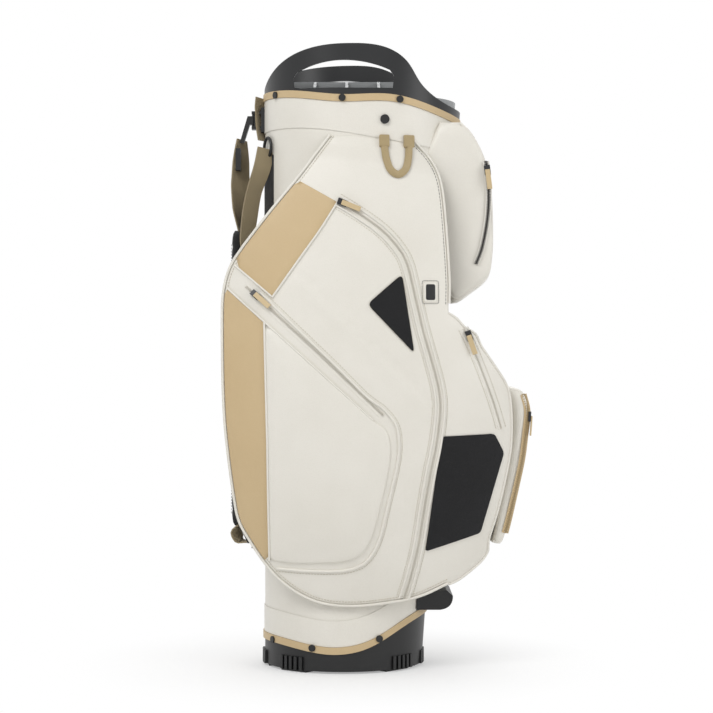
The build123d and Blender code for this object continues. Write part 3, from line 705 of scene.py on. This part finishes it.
upper = pillow("upper_pocket_shell", UPPER, lambda x, z: UPPER_HALF - 1.5, COATED, edge=8, bulge=1.5, crown=2)
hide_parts("upper_pocket")
pouch = pillow("front_pouch_shell", POUCH, lambda x, z: form_depth(x, z) - 4.0, GUSSET, edge=3, bulge=-2,
               crown=1.5)
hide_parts("front_pouch")
ball = pillow("ball_pocket_shell", BALL, lambda x, z: BALL_HALF, COATED, edge=9, bulge=1, crown=1.5,
              spacing=7)
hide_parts("ball_pocket")


def flat_face(depth):
    """Places a point on a pocket's flat side face."""
    return lambda x, z, lift, side: Vector((x, side * (depth + lift), z)) * MM


def rim_face(depth, middle):
    """Places a point of a line that runs round a pocket's edge, lifted away from its middle."""
    def place(x, z, lift, side):
        away = np.array((x, z)) - middle
        away /= np.linalg.norm(away)
        turned = lift * math.sqrt(0.5)
        return Vector((x + away[0] * turned, side * (depth + turned), z + away[1] * turned)) * MM
    return place


POUCH_ZIP = smooth([(170, 484), (186, 450), (199, 418), (213, 380), (224, 345)], 5)
UPPER_ZIP = smooth([(204, 722), (207, 695), (208, 665), (205, 632), (198, 598), (190, 577)], 5)
BALL_ZIP = smooth([(258, 392), (263.5, 368), (260.5, 335), (256, 300), (247, 258), (237, 215), (232, 196)], 5)


def front_side(side, word):
    """The zips, seams and piping of one side of the front pockets."""
    ribbon(f"pouch_tape_{word}", POUCH_ZIP, 10, COATED, side, 0.4)
    teeth = zip_teeth(f"pouch_teeth_{word}", POUCH_ZIP, WHITE_COIL, side, 1.0, width=3.6)
    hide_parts(f"pouch_zip_{word}")
    for name, offset in (("a", -7), ("b", 7)):
        stitches(f"pouch_zip_stitch_{name}_{word}", inset(POUCH_ZIP, offset), THREAD, side, 0.5)
    pipings = {    # line, sideways shift and depth
        "pouch_piping": (POUCH_LINE, -1.0, lambda x, z: side_depth(x, z) - 0.4),
        "upper_piping": (UPPER_FRONT, -2.5, lambda x, z: UPPER_HALF - 5),
        "ball_piping": (BALL_LINE, -2.5, lambda x, z: BALL_HALF - 4),
    }
    for name, (line, shift, depth) in pipings.items():
        points = [Vector((x, side * depth(x, z), z)) * MM for x, z in inset(line, shift)]
        cord_line(f"{name}_{word}", points, 1.7, COATED)
    upper_face = flat_face(UPPER_HALF)
    ribbon(f"upper_tape_{word}", UPPER_ZIP, 9, COATED, side, 1.2, place=upper_face)
    zip_teeth(f"upper_teeth_{word}", UPPER_ZIP, DARK_COIL, side, 2.0, width=5.5, place=upper_face)
    edge_face = rim_face(BALL_HALF - 5, (151.0, 300.0))
    ribbon(f"ball_tape_{word}", BALL_ZIP, 13, TAN_SKIN, side, 0.6, place=edge_face)
    zip_teeth(f"ball_teeth_{word}", BALL_ZIP, COIL, side, 1.4, width=8.0, pitch=3.4, place=edge_face)


both(front_side)
for stand_in, hidden in (("upper_teeth_near", "upper_zip"), ("ball_teeth_near", "ball_zip")):
    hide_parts(hidden)


# --- the shoulder strap's pad ---------------------------------------------------------------------
def shoulder_pad():
    """A padded strip with rounded edges and cross seams, on the strap."""
    low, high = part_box("shoulder_pad")
    middle, half = (low + high) / 2, (high - low) / 2
    rows, around = 90, 28
    length, round_length = high.z - low.z, 0.028
    verts = []
    for i in range(rows):
        t = i / (rows - 1)
        z = low.z + length * t
        end = min(min(t, 1 - t) * length / round_length, 1.0)
        round_end = math.sqrt(end * (2 - end))
        seam = 1 - 0.16 * sum(math.exp(-((t - s) / 0.006) ** 2) for s in (0.06, 0.35, 0.65, 0.94))
        for k in range(around):
            a = 2 * math.pi * k / around
            c, s = math.cos(a), math.sin(a)
            u = math.copysign(abs(c) ** 0.45, c) * half.x * seam * (0.55 + 0.45 * round_end)
            v = math.copysign(abs(s) ** 0.55, s) * half.y * (0.35 + 0.65 * round_end)
            verts.append(Vector((middle.x + u, middle.y + v, z)))
    pad = finish_mesh("strap_pad", verts, loft_faces(rows, around), PAD_CLOTH, "shoulder_strap",
                      50)
    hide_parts("shoulder_pad")
    for side, word in ((-1, "near"), (1, "far")):
        edge = [Vector((low.x - 0.0002, side * half.y * 0.72, low.z + 0.02 + (length - 0.04) * i / 80))
                for i in range(81)]
        turns = Vector((0, 0, 1)), Vector((0, 1, 0)), Vector((-1, 0, 0))
        spots = [(p, *turns) for p, _ in steps(edge, 0.0045)]
        bricks(f"pad_stitch_{word}", spots, (3.0, 0.7, 0.6), DARK_THREAD, "shoulder_strap")


shoulder_pad()


# --- webbing: flat bands along a route, turned as they hang ---------------------------------------
def band(name, route, width, body, turns):
    """A webbing band. Each point of the route has a turn, in degrees, of its width from +X towards +Y."""
    line = smooth(route, 3)
    share = np.linspace(0, len(route) - 1, len(line))
    profile = [(-1, -0.6), (-0.95, 1), (0.95, 1), (1, -0.6), (0.9, -1), (-0.9, -1)]
    verts = []
    for i, p in enumerate(line):
        a, b = np.array(line[max(i - 1, 0)]), np.array(line[min(i + 1, len(line) - 1)])
        heading = Vector(b - a).normalized()
        turn = math.radians(float(np.interp(share[i], range(len(turns)), turns)))
        across = Vector((math.cos(turn), math.sin(turn), 0))
        across = (across - heading * across.dot(heading)).normalized()
        out = heading.cross(across)
        for u, v in profile:
            verts.append((Vector(p) + across * (u * width / 2) + out * (v * WEB_THICKNESS / 2)) * MM)
    return finish_mesh(name, verts, loft_faces(len(line), len(profile)), WEBBING, body, 40)


UPPER_WEB = [(-146, 0, 762), (-147, -1, 735), (-148, -2, 700), (-149, -1, 665), (-150, 0, 628)]
LOWER_WEB = [(-149, 0, 203), (-154, 0, 190), (-148, 0, 178), (-138, 0, 176)]
GRAB_WEB = [(-108, -52, 744), (-114, -55, 716), (-126, -52, 680), (-133, -48, 640), (-136, -46, 604),
            (-128, -44, 590)]
RING_TAB = [(-117, -6, 822), (-120, -6, 805), (-119, -6, 780), (-116, -8, 760)]

upper_web = band("strap_upper_webbing", UPPER_WEB, 30, "shoulder_strap", (65, 40, 28, 50, 90))
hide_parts("strap_webbing")
band("strap_lower_webbing", LOWER_WEB, 30, "shoulder_strap", (90, 60, 60, 90))
grab = band("grab_webbing", GRAB_WEB, 26, "bag", (12, 20, 35, 30, 40, 60))
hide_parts("grab_strap")
band("ring_tab_near", RING_TAB, 22, "bag", (40, 60, 60, 60))


def loop_route():
    """The towel loop's line: down from one tab, round, and up to the other."""
    spots = [(60, 742), (62, 722), (68, 706), (79, 699), (89, 706), (93, 722), (94, 742)]
    return [side_point(x, z, 3.2 if 705 < z < 740 else 2.6) for x, z in spots]


def towel_loop():
    """The webbing loop and the two tabs that hold it."""
    line = smooth([tuple(p / MM) for p in loop_route()], 2)
    half_width, half_thickness, around = 5.2, 1.9, 10
    verts = []
    for i, p in enumerate(line):
        a, b = np.array(line[max(i - 1, 0)]), np.array(line[min(i + 1, len(line) - 1)])
        out = Vector((0, -1, 0))
        across = Vector(b - a).normalized().cross(out).normalized()
        for k in range(around):
            t = 2 * math.pi * k / around
            spot = across * (half_width * math.cos(t)) + out * (half_thickness * math.sin(t))
            verts.append((Vector(p) + spot) * MM)
    loop = finish_mesh("towel_webbing", verts, loft_faces(len(line), around), LOOP_WEBBING, "towel_loop",
                       60)
    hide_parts("towel_loop")
    for x, word in ((60, "back"), (94, "front")):
        outline = rounded([(x - 7, 757), (x + 7, 757), (x + 7, 739), (x - 7, 739)], 2, step=2)
        tab = panel(f"towel_tab_{word}", outline, LOOP_WEBBING, lift=5.4, edge=1.2, spacing=3, depth=4)
    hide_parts("towel_tabs")


towel_loop()


# --- stage, light and camera ----------------------------------------------------------------------
def direct_rays(nodes, links):
    """1 for what the camera sees, straight on, in a reflection or through glass."""
    path = nodes.new("ShaderNodeLightPath")
    total = path.outputs["Is Camera Ray"]
    for ray in ("Is Glossy Ray", "Is Transmission Ray"):
        most = nodes.new("ShaderNodeMath")
        most.operation = "MAXIMUM"
        links.new(total, most.inputs[0])
        links.new(path.outputs[ray], most.inputs[1])
        total = most.outputs[0]
    return total


def whiten_floor(mat):
    """The floor runs out to plain white away from the bag, and keeps its shadow near it."""
    nodes, links = mat.node_tree.nodes, mat.node_tree.links
    where = nodes.new("ShaderNodeNewGeometry")
    distance = nodes.new("ShaderNodeVectorMath")
    distance.operation = "LENGTH"
    links.new(where.outputs["Position"], distance.inputs[0])
    reach = nodes.new("ShaderNodeMapRange")
    reach.interpolation_type = "SMOOTHSTEP"
    reach.inputs["From Min"].default_value = 0.1
    reach.inputs["From Max"].default_value = 0.42
    reach.inputs["To Min"].default_value = 0.35
    reach.inputs["To Max"].default_value = 1.0
    links.new(distance.outputs["Value"], reach.inputs["Value"])
    amount = nodes.new("ShaderNodeMath")
    amount.operation = "MULTIPLY"
    links.new(direct_rays(nodes, links), amount.inputs[0])
    links.new(reach.outputs["Result"], amount.inputs[1])
    glow = nodes.new("ShaderNodeEmission")
    choose = nodes.new("ShaderNodeMixShader")
    links.new(amount.outputs[0], choose.inputs["Fac"])
    links.new(nodes["Principled BSDF"].outputs[0], choose.inputs[1])
    links.new(glow.outputs[0], choose.inputs[2])
    links.new(choose.outputs[0], nodes["Material Output"].inputs["Surface"])


CAMERA_PLACE, CAMERA_LENS, CAMERA_SENSOR = (0.0212, -2.9, 0.446), 100.3, 36.0
LAMP_TARGET = (0.03, 0, 0.45)
LAMPS = {    # place, size and power
    "key": ((-1.4, -2.4, 2.9), 1.6, 54),
    "fill": ((2.6, -1.8, 1.4), 1.6, 22),
    "back": ((0.2, 2.6, 2.4), 2.4, 30),
}


def lay_floor(scene):
    """A pale floor, which is not part of the bag."""
    mesh = bpy.data.meshes.new("floor")
    mesh.from_pydata([(-9, -9, 0), (9, -9, 0), (9, 9, 0), (-9, 9, 0)], [], [(0, 1, 2, 3)])
    floor = bpy.data.objects.new("floor", mesh)
    scene.collection.objects.link(floor)
    mat = bpy.data.materials.new("floor_white")
    mat.use_nodes = True
    mat.node_tree.nodes["Principled BSDF"].inputs["Base Color"].default_value = (0.93, 0.93, 0.93, 1)
    mat.node_tree.nodes["Principled BSDF"].inputs["Roughness"].default_value = 0.9
    whiten_floor(mat)
    mesh.materials.append(mat)


def light_world(scene):
    """Soft even light, with a plain white background for what the camera sees."""
    world = bpy.data.worlds.new("studio")
    scene.world = world
    world.use_nodes = True
    nodes, links = world.node_tree.nodes, world.node_tree.links
    soft = nodes["Background"]
    soft.inputs["Color"].default_value = (1, 1, 1, 1)
    soft.inputs["Strength"].default_value = 0.55
    white = nodes.new("ShaderNodeBackground")
    white.inputs["Color"].default_value = (1, 1, 1, 1)
    white.inputs["Strength"].default_value = 1.0
    choose = nodes.new("ShaderNodeMixShader")
    links.new(direct_rays(nodes, links), choose.inputs["Fac"])
    links.new(soft.outputs[0], choose.inputs[1])
    links.new(white.outputs[0], choose.inputs[2])
    links.new(choose.outputs[0], nodes["World Output"].inputs["Surface"])


def stage():
    """The floor, the light and the camera."""
    scene = bpy.context.scene
    scene.view_settings.view_transform = "Standard"
    lay_floor(scene)
    light_world(scene)
    for name, (place, size, power) in LAMPS.items():
        lamp = bpy.data.lights.new(name, "AREA")
        lamp.energy, lamp.size = power, size
        light = bpy.data.objects.new(name, lamp)
        light.location = place
        light.rotation_euler = (Vector(LAMP_TARGET) - Vector(place)).to_track_quat("-Z", "Y").to_euler()
        scene.collection.objects.link(light)
    cam = bpy.data.cameras.new("camera")
    cam.lens, cam.sensor_width = CAMERA_LENS, CAMERA_SENSOR
    eye = bpy.data.objects.new("camera", cam)
    eye.location = CAMERA_PLACE
    eye.rotation_euler = (math.pi / 2, 0, 0)
    scene.collection.objects.link(eye)
    scene.camera = eye


stage()
